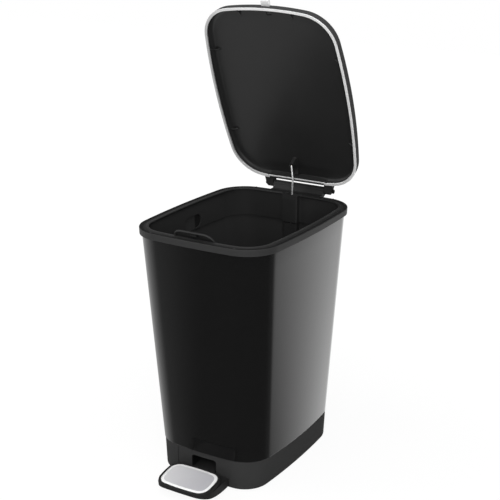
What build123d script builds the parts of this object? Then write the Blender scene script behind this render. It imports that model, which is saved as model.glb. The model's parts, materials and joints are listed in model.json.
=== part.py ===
"""Pedal trash can, tapered body with a hinged lid, drawn with the lid open and the pedal down.

Millimetres. X is the width, the pedal faces -Y, the lid hinge lies behind at +Y, Z is up.
The floor is Z = 0. A moving piece is drawn on its own plane, in its pressed or open place.
"""

import os
from math import cos, radians, sin

from build123d import *

os.makedirs("parts", exist_ok=True)

# Outlines: width, depth, how far the long and the short sides bow out, corner radius, shift back
RIM = (334.0, 427.3, 10.3, 7.5, 73.0, 0.0)
TUB_FOOT = (276.0, 363.6, 13.5, 11.1, 63.0, 3.7)
BASE_TOP = (272.0, 360.0, 12.0, 9.0, 62.0, 3.8)
BASE_FLOOR = (259.0, 358.0, 8.8, 5.6, 59.0, 4.0)
LID_EDGE = (337.2, 436.5, 14.7, 16.6, 78.5, 0.0)

# Heights on the centre line
RIM_TOP = 552.0
RIM_BAND = 14.0
TUB_TOP = 546.0
TUB_FLOOR = 92.0
BASE_HEIGHT = 68.0
BASE_UNDERSIDE = 0.0
BASE_PLATE = 5.0

# Walls and gaps
WALL = 2.5
TUB_INSET = 5.0
FIT = 0.3

# Lid hinge and lid
HINGE_Y, HINGE_Z = 235.0, 561.0
LID_OPEN = 68.66
LID_REACH = 233.35
TRIM_LOW, TRIM_TOP = -7.7, -6.3
TRIM_FACE = 6.3
LID_CROWN = 19.0
CROWN_RADIUS = 4000.0
LID_WALL = 2.8
NOTCH_HALF, NOTCH_Y = 70.0, -23.5
HINGE_LIP = -18.6
TONGUE_HALF = 65.0
EAR_IN, EAR_OUT = 66.0, 89.0
EAR_TAPER = 0.34
CAP_X = 85.0
KNUCKLE, PIN_D = 8.0, 5.0

# Lift rod: straight below, a short lean at the top
ROD_D = 4.0
ROD_X = -1.0
ROD_FOOT_Y, ROD_FOOT_Z = 167.0, 73.0
ROD_LEAN = 4.05
ROD_BEND_Z = 586.5
ROD_TIP_SIDE, ROD_TIP_RISE = -4.8, 30.0
ROD_STROKE = 50.0

# Pedal lever
PIVOT_Y, PIVOT_Z = -100.0, 26.0
PEDAL_TILT = 9.4
PEDAL_SWING = 10.7
PEDAL_W, PEDAL_L = 119.2, 73.2
PEDAL_Y, PEDAL_TOP = -127.6, 29.0
PEDAL_RIM, PEDAL_DEPTH = 6.0, 7.2
TRAY_HALF, TRAY_END = 65.4, -78.5
NECK_HALF, NECK_TOP, NECK_LOW = 26.0, 14.0, -3.0
SLOT_HALF, SLOT_LOW, SLOT_TOP = 31.0, 6.0, 56.0
PANEL_HALF, PANEL_LOW, PANEL_TOP = 67.0, 21.0, 64.0
PIVOT_D = 6.0
BRACKET_IN, BRACKET_T = 28.0, 6.0

# Lid lock: a push bolt through the front of the lid, its toe passing under a ledge of the bag ring's tab
LOCK_X, LOCK_HALF = 0.5, 9.5
LOCK_LOW, LOCK_HIGH = 4.0, 10.0
LOCK_OUT, LOCK_JOIN = -462.7, -448.6
ARM_BACK, TOE_BACK = -445.2, -441.6
TOE_LOW, TOE_HIGH = -3.8, -2.4

# Planes of the moving pieces: local Y runs to the back, local Z up through the piece
LID = Plane(
    origin=(0, HINGE_Y, HINGE_Z),
    x_dir=(1, 0, 0),
    z_dir=(0, sin(radians(LID_OPEN)), cos(radians(LID_OPEN))),
)
LEVER = Plane(
    origin=(0, PIVOT_Y, PIVOT_Z),
    x_dir=(1, 0, 0),
    z_dir=(0, -sin(radians(PEDAL_TILT)), cos(radians(PEDAL_TILT))),
)
ROD = Plane(
    origin=(ROD_X, ROD_FOOT_Y, ROD_FOOT_Z),
    x_dir=(1, 0, 0),
    z_dir=(0, sin(radians(ROD_LEAN)), cos(radians(ROD_LEAN))),
)
LID_CENTRE = LID.shift_origin(LID.from_local_coords((0, -LID_REACH, 0)))
ROD_LENGTH = (ROD_BEND_Z - ROD_FOOT_Z) / cos(radians(ROD_LEAN))


def side_of(plane, x):
    """The plane seen from its +X side: sketch X is local Y, sketch Y is local Z."""
    return Plane(origin=plane.from_local_coords((x, 0, 0)), x_dir=plane.y_dir, z_dir=plane.x_dir)


def inset(size, amount):
    """The same outline, drawn in on all sides."""
    width, depth, bow_x, bow_y, corner, back = size
    return (width - 2 * amount, depth - 2 * amount, bow_x, bow_y, corner - amount, back)


def between(low, high, share):
    """The outline part of the way from a low one to a high one."""
    return tuple(a + (b - a) * share for a, b in zip(low, high))


def tub_at(z, amount=0.0):
    """The tub's outline at a height, drawn in by an amount."""
    share = (z - BASE_HEIGHT) / (TUB_TOP - BASE_HEIGHT)
    return inset(between(TUB_FOOT, inset(RIM, TUB_INSET), share), amount)


def base_at(z, amount=0.0):
    """The base's outline at a height, drawn in by an amount."""
    return inset(between(BASE_FLOOR, BASE_TOP, z / BASE_HEIGHT), amount)


def outline(plane, size):
    """A rounded rectangle with bowed sides, drawn on a plane."""
    width, depth, bow_x, bow_y, corner, back = size
    x, y = width / 2, depth / 2
    cx, cy = x - bow_x, y - bow_y
    with BuildSketch(plane) as sketch:
        with BuildLine():
            ThreePointArc((cx, back - cy), (x, back), (cx, back + cy))
            ThreePointArc((cx, back + cy), (0, back + y), (-cx, back + cy))
            ThreePointArc((-cx, back + cy), (-x, back), (-cx, back - cy))
            ThreePointArc((-cx, back - cy), (0, back - y), (cx, back - cy))
        make_face()
        fillet(sketch.vertices(), corner)
    return sketch.sketch


def lift(low, high, low_size, high_size, mode=Mode.ADD, base=Plane.XY):
    """A straight-sided body between two outlines at two heights."""
    sections = [outline(base.offset(low), low_size), outline(base.offset(high), high_size)]
    loft(sections, ruled=True, mode=mode)


def lid_size(z, amount=0.0):
    """The lid's outline at a local height, its sides drawn in a little toward the top."""
    rise = (z - TRIM_LOW) / (LID_CROWN - TRIM_LOW)
    return inset(LID_EDGE, amount + 2.5 * rise)


def tip_path(share):
    """The middle of the rod's round tip in the lid's own plane, from closed (0) to open (1)."""
    turn = radians(LID_OPEN * share)
    tip = ROD.from_local_coords((ROD_TIP_SIDE, 0, ROD_LENGTH + ROD_TIP_RISE - ROD_D / 2))
    low = tip - ROD.z_dir * ROD_STROKE * (1 - share)
    y, z = low.Y - HINGE_Y, low.Z - HINGE_Z
    return Vector(y * cos(turn) - z * sin(turn), y * sin(turn) + z * cos(turn))


def push_face(share, gap):
    """A point of the lid's push rib, a gap outside the path of the tip."""
    along = (tip_path(share + 0.01) - tip_path(share - 0.01)).normalized()
    reach = ROD_D / 2 + gap
    return tip_path(share) + Vector(along.Y, -along.X) * reach


# Body tub: tapered bucket with a raised floor, four screw bosses below it and a hole for the rod
BOSSES = [(x, y) for x in (-80, 80) for y in (-95, 110)]
BOSS_LOW = 40.0

with BuildPart() as body_tub:
    lift(BASE_HEIGHT + 0.2, TUB_TOP, tub_at(BASE_HEIGHT), tub_at(TUB_TOP))
    lift(TUB_FLOOR, TUB_TOP, tub_at(TUB_FLOOR, WALL), tub_at(TUB_TOP, WALL), Mode.SUBTRACT)
    lift(
        BASE_HEIGHT + 0.2,
        TUB_FLOOR - WALL,
        tub_at(BASE_HEIGHT, WALL),
        tub_at(TUB_FLOOR - WALL, WALL),
        Mode.SUBTRACT,
    )
    with BuildSketch(Plane.XY.offset(BOSS_LOW)):
        with Locations(*BOSSES):
            Circle(7)
    extrude(amount=TUB_FLOOR - WALL - BOSS_LOW)
    with BuildSketch(Plane.XY.offset(BOSS_LOW)):
        with Locations(*BOSSES):
            Circle(2.1)
    extrude(amount=30, mode=Mode.SUBTRACT)
    with BuildSketch(Plane.XY.offset(TUB_FLOOR)):
        with Locations((ROD_X, ROD_FOOT_Y + 1.2)):
            SlotOverall(16, 9)
    extrude(amount=-2 * WALL, mode=Mode.SUBTRACT)
body_tub.part.label = "body_tub"

# Rod cover: open-backed channel on the rear wall that keeps the rod clear of the bag
COVER_HALF = 17.5
COVER_LOW, COVER_TOP = TUB_FLOOR + 0.2, 486.0


def cover_section(z, wall):
    """The channel's section at a height, from the rear wall to in front of the rod."""
    rod_y = ROD.origin.Y + (z - ROD_FOOT_Z) * ROD.z_dir.Y / ROD.z_dir.Z
    rear = tub_at(z, WALL)
    back = rear[5] + rear[1] / 2 - 0.5 + (3.0 if wall else 0.0)
    front = rod_y - 7.5 + wall
    with BuildSketch(Plane.XY.offset(z)) as section:
        with Locations((0, (front + back) / 2)):
            Rectangle(2 * (COVER_HALF - wall), back - front)
    return section.sketch


with BuildPart() as rod_cover:
    loft([cover_section(COVER_LOW, 0), cover_section(COVER_TOP, 0)], ruled=True)
    fillet(rod_cover.edges().filter_by(lambda e: e.length > 300).group_by(Axis.Y)[0], 4)
    loft(
        [cover_section(COVER_LOW, 2.0), cover_section(COVER_TOP, 2.0)],
        ruled=True,
        mode=Mode.SUBTRACT,
    )
rod_cover.part.label = "rod_cover"

# Rod guide: bush in the tub's floor
with BuildPart() as rod_guide:
    with BuildSketch(Plane.XY.offset(TUB_FLOOR - WALL - 3)):
        with Locations((ROD_X, ROD_FOOT_Y + 1.2)):
            SlotOverall(15.4, 8.4)
    extrude(amount=WALL + 4)
    with BuildSketch(Plane.XY.offset(TUB_FLOOR + 0.1)):
        with Locations((ROD_X, ROD_FOOT_Y + 1.2)):
            SlotOverall(20, 10.4)
    extrude(amount=2)
    with BuildSketch(ROD):
        Circle(ROD_D / 2 + 0.4)
    extrude(amount=60, mode=Mode.SUBTRACT)
rod_guide.part.label = "rod_guide"

# Top frame: rim band over the tub's edge, with the hinge tongue behind
STEP_INSET, STEP_DEEP = 8.0, 3.0
SEAT_INSET = 11.2
TONGUE_ROOT = 198.0
BUFFERS = [(x, y) for x in (-100, 100) for y in (-206.6, 207.4)]
BUFFER_R = 2.2

with BuildPart() as top_frame:
    lift(RIM_TOP - RIM_BAND, RIM_TOP, inset(RIM, 0.6), RIM)
    fillet(top_frame.faces().sort_by(Axis.Z)[-1].edges(), 1.6)
    with BuildSketch(Plane.YZ.offset(-TONGUE_HALF)):
        with BuildLine():
            front = Polyline(
                (HINGE_Y - KNUCKLE, HINGE_Z),
                (224, RIM_TOP),
                (TONGUE_ROOT, RIM_TOP),
                (TONGUE_ROOT, RIM_TOP - RIM_BAND),
                (214, RIM_TOP - RIM_BAND),
                (HINGE_Y + KNUCKLE, HINGE_Z - 7),
                (HINGE_Y + KNUCKLE, HINGE_Z),
            )
            ThreePointArc(front @ 1, (HINGE_Y, HINGE_Z + KNUCKLE), front @ 0)
        make_face()
    extrude(amount=2 * TONGUE_HALF)
    lift(
        RIM_TOP - RIM_BAND,
        TUB_TOP + 0.2,
        tub_at(RIM_TOP - RIM_BAND, -FIT),
        tub_at(TUB_TOP, -FIT),
        Mode.SUBTRACT,
    )
    extrude(outline(Plane.XY.offset(TUB_TOP), inset(RIM, SEAT_INSET)), amount=20, mode=Mode.SUBTRACT)
    extrude(
        outline(Plane.XY.offset(RIM_TOP - STEP_DEEP), inset(RIM, STEP_INSET)),
        amount=STEP_DEEP + 1,
        mode=Mode.SUBTRACT,
    )
    with BuildSketch(Plane.XY.offset(TUB_TOP)):
        with Locations((ROD_X - 2, 200)):
            RectangleRounded(15, 9.2, 2)
    extrude(amount=10, mode=Mode.SUBTRACT)
    with BuildSketch(Plane.YZ.offset(-TONGUE_HALF)):
        with Locations((HINGE_Y, HINGE_Z)):
            Circle(PIN_D / 2 + 0.05)
    extrude(amount=2 * TONGUE_HALF, mode=Mode.SUBTRACT)
    with BuildSketch(Plane.XY.offset(RIM_TOP)):
        with Locations(*BUFFERS):
            Circle(BUFFER_R + 0.1)
    extrude(amount=-2, mode=Mode.SUBTRACT)
top_frame.part.label = "top_frame"

# Lid buffers: rubber buttons pressed into the rim band
with BuildPart() as lid_buffers:
    with BuildSketch(Plane.XY.offset(RIM_TOP - 1.9)):
        with Locations(*BUFFERS):
            Circle(BUFFER_R)
    extrude(amount=2.8)
    fillet(lid_buffers.edges().group_by(Axis.Z)[-1], 0.5)
lid_buffers.part.label = "lid_buffers"

# Bag ring: hangs in the rim, with a tunnel for the rod, two bag holes and a front tab
RING_FLANGE, RING_SKIRT = 8.7, 12.8
RING_SEAT = RIM_TOP - STEP_DEEP + 0.1
RING_LOW = 488.0
RING_WALL = 2.2
RING_EDGE = 19.0
TUNNEL_HALF, TUNNEL_FRONT = 19.5, 186.5
TAB_HALF, TAB_RISE, TAB_CORNER, TAB_T = 50.3, 24.0, 24.0, 2.4
TAB_LEAN = 31.3
TAB_BEAD = 4.5
TAB = Plane(
    origin=(0, -190.8, RING_SEAT),
    x_dir=(1, 0, 0),
    z_dir=(0, -cos(radians(TAB_LEAN)), -sin(radians(TAB_LEAN))),
)

with BuildPart() as ring_tab:
    with BuildSketch(TAB):
        with Locations((0, TAB_RISE)):
            RectangleRounded(2 * TAB_HALF, 80, TAB_CORNER, align=(Align.CENTER, Align.MAX))
    extrude(amount=TAB_T)
    for face in (0, -1):
        chamfer(ring_tab.faces().sort_by(Axis(TAB.origin, TAB.z_dir))[face].edges(), 0.7)
    with BuildSketch(TAB.offset(TAB_T)):
        with Locations((0, TAB_RISE - TAB_BEAD)):
            RectangleRounded(
                2 * (TAB_HALF - TAB_BEAD),
                80 - 2 * TAB_BEAD,
                TAB_CORNER - TAB_BEAD,
                align=(Align.CENTER, Align.MAX),
            )
    extrude(amount=-0.9, mode=Mode.SUBTRACT)
    with BuildSketch(Plane.YZ.offset(LOCK_X - 6.5)):
        with BuildLine():
            Polyline((-196, 560.4), (-205.2, 560.4), (-205.2, 562), (-200, 566), close=True)
        make_face()
    extrude(amount=16)
    with BuildSketch(Plane.XY.offset(RING_SEAT + 0.5)):
        with Locations((0, -180)):
            Rectangle(160, 120)
    extrude(amount=-80, mode=Mode.SUBTRACT)
    with BuildSketch(Plane.YZ.offset(-TAB_HALF + 2)):
        with BuildLine():
            Polyline((-198, 549.6), (-191.2, 549.6), (-192.6, 551.8), (-198, 551.8), close=True)
        make_face()
    extrude(amount=2 * TAB_HALF - 4)

with BuildPart() as bag_ring:
    extrude(outline(Plane.XY.offset(RING_SEAT), inset(RIM, RING_FLANGE)), amount=RIM_TOP - RING_SEAT)
    fillet(bag_ring.edges().group_by(Axis.Z)[-1], 0.8)
    extrude(outline(Plane.XY.offset(RING_LOW), inset(RIM, RING_SKIRT)), amount=RING_SEAT - RING_LOW)
    extrude(
        outline(Plane.XY.offset(RING_LOW), inset(RIM, RING_SKIRT + RING_WALL)),
        amount=RING_SEAT - RING_LOW,
        mode=Mode.SUBTRACT,
    )
    extrude(
        outline(Plane.XY.offset(RING_SEAT), inset(RIM, RING_EDGE)),
        amount=RIM_TOP - RING_SEAT,
        mode=Mode.SUBTRACT,
    )
    with BuildSketch(Plane.YZ.offset(-RIM[0])):
        with Locations((21, 506)):
            SlotOverall(64, 30)
    extrude(amount=2 * RIM[0], mode=Mode.SUBTRACT)
    with BuildSketch(Plane.XY.offset(RING_LOW)):
        with Locations((0, TUNNEL_FRONT)):
            Rectangle(2 * TUNNEL_HALF, 13.8, align=(Align.CENTER, Align.MIN))
    extrude(amount=RIM_TOP - RING_LOW)
    with BuildSketch(Plane.XY.offset(RING_LOW)):
        with Locations((0, TUNNEL_FRONT + RING_WALL)):
            Rectangle(2 * (TUNNEL_HALF - RING_WALL), 14, align=(Align.CENTER, Align.MIN))
    extrude(amount=RING_SEAT - RING_LOW, mode=Mode.SUBTRACT)
    with BuildSketch(Plane.XY.offset(RING_SEAT)):
        with Locations((ROD_X - 2, 199.5)):
            RectangleRounded(15, 16, 2)
    extrude(amount=RIM_TOP - RING_SEAT, mode=Mode.SUBTRACT)
    add(ring_tab.part)
bag_ring.part.label = "bag_ring"

# Base: skirt with a floor, a step that fits inside the tub, posts, pivot brackets and foot pockets
FEET = [(-88, -125), (88, -125), (-88, 135), (88, 135)]
FOOT_R = 10.0
SPIGOT_TOP = 82.0
SPIGOT_GAP = WALL + 0.4

with BuildPart() as base_skirt:
    lift(BASE_UNDERSIDE, BASE_HEIGHT, base_at(BASE_UNDERSIDE), base_at(BASE_HEIGHT))
    fillet(base_skirt.faces().sort_by(Axis.Z)[0].edges(), 8)
    lift(BASE_HEIGHT, SPIGOT_TOP, tub_at(BASE_HEIGHT, SPIGOT_GAP), tub_at(SPIGOT_TOP, SPIGOT_GAP))
    lift(BASE_PLATE, BASE_HEIGHT, base_at(BASE_PLATE, 6), base_at(BASE_HEIGHT, 3.6), Mode.SUBTRACT)
    lift(
        BASE_HEIGHT,
        SPIGOT_TOP,
        tub_at(BASE_HEIGHT, SPIGOT_GAP + 2.6),
        tub_at(SPIGOT_TOP, SPIGOT_GAP + 2.6),
        Mode.SUBTRACT,
    )
    with BuildSketch(Plane.XY.offset(BASE_PLATE)):
        with Locations(*BOSSES):
            Circle(7)
    extrude(amount=BOSS_LOW - 0.2 - BASE_PLATE)
    for side in (-BRACKET_IN - BRACKET_T, BRACKET_IN):
        with BuildSketch(Plane.YZ.offset(side)):
            with Locations((PIVOT_Y, PIVOT_Z)):
                Circle(9)
            with Locations((PIVOT_Y, BASE_PLATE)):
                Rectangle(30, 2)
            make_hull()
        extrude(amount=BRACKET_T)
    with BuildSketch(Plane.YZ.offset(-60)):
        with Locations((PIVOT_Y, PIVOT_Z)):
            Circle(PIVOT_D / 2 + 0.05)
    extrude(amount=120, mode=Mode.SUBTRACT)
    with BuildSketch(Plane.XY.offset(BASE_UNDERSIDE)):
        with Locations(*FEET):
            Circle(FOOT_R + 0.2)
    extrude(amount=1.5, mode=Mode.SUBTRACT)
    with Locations(*[Location((x, y, BASE_UNDERSIDE), (180, 0, 0)) for x, y in BOSSES]):
        CounterBoreHole(2.2, 4.6, 6, BOSS_LOW)
    with BuildSketch(Plane.XZ.offset(140)):
        with Locations((0, (PANEL_LOW + PANEL_TOP) / 2)):
            RectangleRounded(2 * PANEL_HALF + 0.6, PANEL_TOP - PANEL_LOW + 0.6, 4)
        with Locations((0, SLOT_LOW)):
            Rectangle(2 * SLOT_HALF, 20, align=(Align.CENTER, Align.MIN))
    extrude(amount=60, mode=Mode.SUBTRACT)
base_skirt.part.label = "base_skirt"

# Pedal surround: curved panel set a little back in the front of the base
with BuildPart() as pedal_surround:
    lift(PANEL_LOW, PANEL_TOP, base_at(PANEL_LOW, 0.9), base_at(PANEL_TOP, 0.9))
    lift(PANEL_LOW, PANEL_TOP, base_at(PANEL_LOW, 3.4), base_at(PANEL_TOP, 3.4), Mode.SUBTRACT)
    with BuildSketch(Plane.XZ.offset(140)):
        with Locations((0, (PANEL_LOW + PANEL_TOP) / 2)):
            RectangleRounded(2 * PANEL_HALF, PANEL_TOP - PANEL_LOW, 4)
        with Locations((0, SLOT_TOP)):
            RectangleRounded(
                2 * SLOT_HALF, 60, 6, align=(Align.CENTER, Align.MAX), mode=Mode.SUBTRACT
            )
    extrude(amount=60, mode=Mode.INTERSECT)
pedal_surround.part.label = "pedal_surround"

# Feet and screws under the base
with BuildPart() as base_feet:
    with BuildSketch():
        with Locations(*FEET):
            Circle(FOOT_R)
    extrude(amount=1.4)
    chamfer(base_feet.edges().group_by(Axis.Z)[0], 0.4)
base_feet.part.label = "base_feet"

with BuildPart() as base_screws:
    with BuildSketch(Plane.XY.offset(2.9)):
        with Locations(*BOSSES):
            Circle(4)
    extrude(amount=3)
    fillet(base_screws.edges().group_by(Axis.Z)[0], 1.2)
    with BuildSketch(Plane.XY.offset(5.9)):
        with Locations(*BOSSES):
            Circle(2)
    extrude(amount=54)
base_screws.part.label = "base_screws"

# Steel pins with their end caps and clips
with BuildPart() as hinge_pin:
    with BuildSketch(Plane.YZ.offset(-CAP_X - 3.4)):
        with Locations((HINGE_Y, HINGE_Z)):
            Circle(PIN_D / 2)
    extrude(amount=2 * CAP_X + 6.8)
hinge_pin.part.label = "hinge_pin"

with BuildPart() as hinge_caps:
    with BuildSketch(Plane.YZ.offset(CAP_X)):
        with Locations((HINGE_Y, HINGE_Z)):
            Circle(5)
            Circle(PIN_D / 2 + 0.05, mode=Mode.SUBTRACT)
    extrude(amount=3)
    chamfer(hinge_caps.edges().group_by(Axis.X)[-1].sort_by(SortBy.LENGTH)[-1], 1)
    mirror(about=Plane.YZ)
hinge_caps.part.label = "hinge_caps"

with BuildPart() as pivot_pin:
    with BuildSketch(Plane.YZ.offset(-BRACKET_IN - BRACKET_T - 3)):
        with Locations((PIVOT_Y, PIVOT_Z)):
            Circle(PIVOT_D / 2)
    extrude(amount=2 * (BRACKET_IN + BRACKET_T + 3))
pivot_pin.part.label = "pivot_pin"

with BuildPart() as pivot_clips:
    with BuildSketch(Plane.YZ.offset(BRACKET_IN + BRACKET_T + 0.2)):
        with Locations((PIVOT_Y, PIVOT_Z)):
            Circle(6)
            Circle(PIVOT_D / 2 + 0.05, mode=Mode.SUBTRACT)
            with Locations((0, -6)):
                Rectangle(4, 8, mode=Mode.SUBTRACT)
    extrude(amount=1.2)
    mirror(about=Plane.YZ)
pivot_clips.part.label = "pivot_clips"


def lid_section(z, amount, step):
    """The lid's outline at a local height, drawn in by an amount, with a step at the hinge."""
    with BuildSketch(LID_CENTRE.offset(z)) as section:
        add(outline(Plane.XY, lid_size(z, amount)))
        with Locations((0, LID_REACH + NOTCH_Y - step)):
            Rectangle(2 * (NOTCH_HALF + step), 60, align=(Align.CENTER, Align.MIN), mode=Mode.SUBTRACT)
    return section.sketch


def lid_body(low, amount, crown, round_over):
    """A solid of the lid's outline under a shallow round crown, stepped in at the hinge."""
    high = LID_CROWN + 2
    with BuildPart(LID_CENTRE) as body:
        lift(low, high, lid_size(low, amount), lid_size(high, amount), base=LID_CENTRE)
        with Locations((0, 0, crown - CROWN_RADIUS)):
            Sphere(CROWN_RADIUS, mode=Mode.INTERSECT)
        fillet(body.faces().filter_by(GeomType.SPHERE).edges(), round_over)
        with BuildSketch(LID.offset(low)):
            with Locations((0, NOTCH_Y - amount)):
                Rectangle(2 * (NOTCH_HALF + amount), 60, align=(Align.CENTER, Align.MIN))
        extrude(amount=40, mode=Mode.SUBTRACT)
    return body.part


# Lid shell: crowned cover with hinge ears, a lip over the hinge, an opening for the lock and a push rib
PUSH_HALF, PUSH_GAP, PUSH_TOP = 4.0, 0.5, 13.0

with BuildPart() as lid_shell:
    add(lid_body(TRIM_TOP + 0.05, 0.3, LID_CROWN, 5))
    add(lid_body(TRIM_TOP, 0.3 + LID_WALL, LID_CROWN - LID_WALL, 9), mode=Mode.SUBTRACT)
    with BuildSketch(LID.offset(TRIM_TOP + 0.05)):
        with Locations((0, HINGE_LIP)):
            Rectangle(2 * EAR_IN + 2, 7, align=(Align.CENTER, Align.MAX))
    extrude(amount=3)
    for low in (-EAR_OUT, EAR_IN):
        with BuildSketch(side_of(LID, low)):
            Circle(KNUCKLE + 0.5)
            with Locations((NOTCH_Y + 1.5, 6)):
                Rectangle(4, 10)
            make_hull()
        extrude(amount=EAR_OUT - EAR_IN)
    with BuildSketch(LID.offset(-12)):
        with BuildLine():
            Polyline((EAR_OUT, -19), (EAR_OUT, 12), (EAR_OUT - 31 * EAR_TAPER, 12), close=True)
        make_face()
        mirror(about=Plane.YZ)
    extrude(amount=24, mode=Mode.SUBTRACT)
    with BuildSketch(side_of(LID, -EAR_OUT)):
        Circle(PIN_D / 2 + 0.3)
    extrude(amount=2 * EAR_OUT, mode=Mode.SUBTRACT)
    with BuildSketch(side_of(LID, ROD_X + ROD_TIP_SIDE - PUSH_HALF)):
        with BuildLine():
            face = Spline(*[push_face(step / 8, PUSH_GAP) for step in range(9)])
            Polyline(
                face @ 1,
                face @ 1 + Vector(-4, 0),
                Vector((face @ 1).X - 9, PUSH_TOP),
                Vector((face @ 0).X + 4, PUSH_TOP),
                face @ 0 + Vector(4, 0.5),
                face @ 0,
            )
        make_face()
    extrude(amount=2 * PUSH_HALF)
    with BuildSketch(LID.offset(LOCK_LOW - 0.3)):
        with Locations((LOCK_X, -LID_REACH - LID_EDGE[1] / 2)):
            Rectangle(2 * LOCK_HALF + 0.6, 24)
    extrude(amount=LOCK_HIGH - LOCK_LOW + 0.6, mode=Mode.SUBTRACT)
lid_shell.part.label = "lid_shell"

# Lid trim: bright ring round the lid's lower edge, narrow at the hinge, with a low lip inside the wall
TRIM_EDGE, TRIM_LIP, TRIM_SEAT = 0.5, 3.9, 0.8
TRIM_STRIP = 2.4

with BuildPart() as lid_trim:
    loft(
        [
            lid_section(TRIM_LOW, TRIM_EDGE, TRIM_EDGE),
            lid_section(TRIM_LOW + TRIM_EDGE, 0, 0),
            lid_section(TRIM_TOP, 0, 0),
        ],
        ruled=True,
    )
    lip_top = TRIM_TOP + TRIM_SEAT
    loft([lid_section(TRIM_TOP, TRIM_LIP, TRIM_LIP), lid_section(lip_top, TRIM_LIP, TRIM_LIP)], ruled=True)
    loft(
        [lid_section(TRIM_LOW, TRIM_FACE, TRIM_STRIP), lid_section(lip_top, TRIM_FACE, TRIM_STRIP)],
        ruled=True,
        mode=Mode.SUBTRACT,
    )
lid_trim.part.label = "lid_trim"

# Lid lock: bright push cap outside, dark hook inside with a stem in the cap, an arm and a toe
STEM_HALF, STEM_EDGE, STEM_OUT = 6.0, 1.5, -457.0


def lock_bar(low, high, half, front, back, x=LOCK_X, mode=Mode.ADD):
    """A straight bar of the lock, from a front to a back and between two heights in the lid's plane."""
    with BuildSketch(LID.offset(low)) as bar:
        with Locations((x, (front + back) / 2)):
            Rectangle(2 * half, back - front)
    extrude(bar.sketch, amount=high - low, mode=mode)


with BuildPart() as lock_cap:
    lock_bar(LOCK_LOW, LOCK_HIGH, LOCK_HALF, LOCK_OUT, LOCK_JOIN)
    outer = lock_cap.faces().sort_by(Axis(LID.origin, LID.y_dir))[0]
    fillet(outer.edges(), 1.5)
    lock_bar(
        LOCK_LOW + STEM_EDGE - 0.1,
        LOCK_HIGH - STEM_EDGE + 0.1,
        STEM_HALF + 0.1,
        STEM_OUT - 0.1,
        LOCK_JOIN,
        mode=Mode.SUBTRACT,
    )
lock_cap.part.label = "lock_cap"

with BuildPart() as lock_hook:
    lock_bar(LOCK_LOW + STEM_EDGE, LOCK_HIGH - STEM_EDGE, STEM_HALF, STEM_OUT, ARM_BACK)
    lock_bar(LOCK_LOW, LOCK_HIGH, LOCK_HALF, LOCK_JOIN + 0.1, ARM_BACK)
    lock_bar(TOE_LOW, LOCK_HIGH, 6, ARM_BACK - 1.8, ARM_BACK, LOCK_X + 1.5)
    lock_bar(TOE_LOW, TOE_HIGH, 6, ARM_BACK - 1.8, TOE_BACK, LOCK_X + 1.5)
lock_hook.part.label = "lock_hook"

# Pedal lever: pad frame on a hollow tray, neck through the base, cheeks on the pivot and a tapering rear arm
PAD = (PEDAL_W, PEDAL_L, 4.0, 3.0, 22.0, PEDAL_Y)
PAD_SEAT = 2.2
TREAD_BEVEL, TREAD_RISE = 4.6, 1.3
PAD_LOW = PEDAL_TOP - PEDAL_DEPTH
LEVER_WALL = 3.0
ARM_LOW, ARM_TOP = -3.0, 9.0
TONGUE_IN, TONGUE_OUT = 3.0, 8.0
ARM_END = 276.5


def rod_eye(share):
    """The rod's foot in the lever's own plane, from lid closed (0) to open (1)."""
    foot = ROD.origin - ROD.z_dir * ROD_STROKE * (1 - share)
    turn = radians(PEDAL_TILT - PEDAL_SWING * (1 - share))
    y, z = foot.Y - PIVOT_Y, foot.Z - PIVOT_Z
    return Vector(y * cos(turn) + z * sin(turn), z * cos(turn) - y * sin(turn))


EYE = (rod_eye(0) + rod_eye(1)) / 2
EYE_LENGTH = abs((rod_eye(1) - rod_eye(0)).X) + ROD_D + 1.4

TRAY_SPLIT = -142.0
TRAY_TOP, TRAY_LOW = 14.8, -3.2


def tray_plan(amount):
    """The tray from above: the pad's rounded front with straight flanks behind, drawn in by an amount."""
    with BuildSketch(LEVER.offset(-12)) as plan:
        add(outline(Plane.XY, inset(PAD, amount - PEDAL_RIM)))
        with Locations((0, PEDAL_Y)):
            Rectangle(2 * (TRAY_HALF - amount), TRAY_END - PEDAL_Y - amount, align=(Align.CENTER, Align.MIN))
    return plan.sketch


with BuildPart() as pedal_tray:
    extrude(tray_plan(0), amount=40)
    with BuildSketch(side_of(LEVER, -80)):
        with BuildLine():
            under = Spline((-171.5, PAD_LOW), (-152, 12.6), (-135, 6.2), (TRAY_END, TRAY_LOW))
            Polyline(
                under @ 1,
                (TRAY_END, TRAY_TOP),
                (TRAY_SPLIT, PAD_LOW),
                (TRAY_SPLIT - 1, PAD_LOW + 2),
                (-171.5, PAD_LOW + 2),
                under @ 0,
            )
        make_face()
    extrude(amount=160, mode=Mode.INTERSECT)

with BuildPart() as tray_hollow:
    extrude(tray_plan(LEVER_WALL), amount=40)
    with BuildSketch(side_of(LEVER, -80)):
        with BuildLine():
            Polyline(
                (-150, -12),
                (TRAY_END, -12),
                (TRAY_END, TRAY_TOP - LEVER_WALL),
                (TRAY_SPLIT, PAD_LOW - LEVER_WALL),
                (-150, PAD_LOW - LEVER_WALL),
                close=True,
            )
        make_face()
    extrude(amount=160, mode=Mode.INTERSECT)

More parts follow.
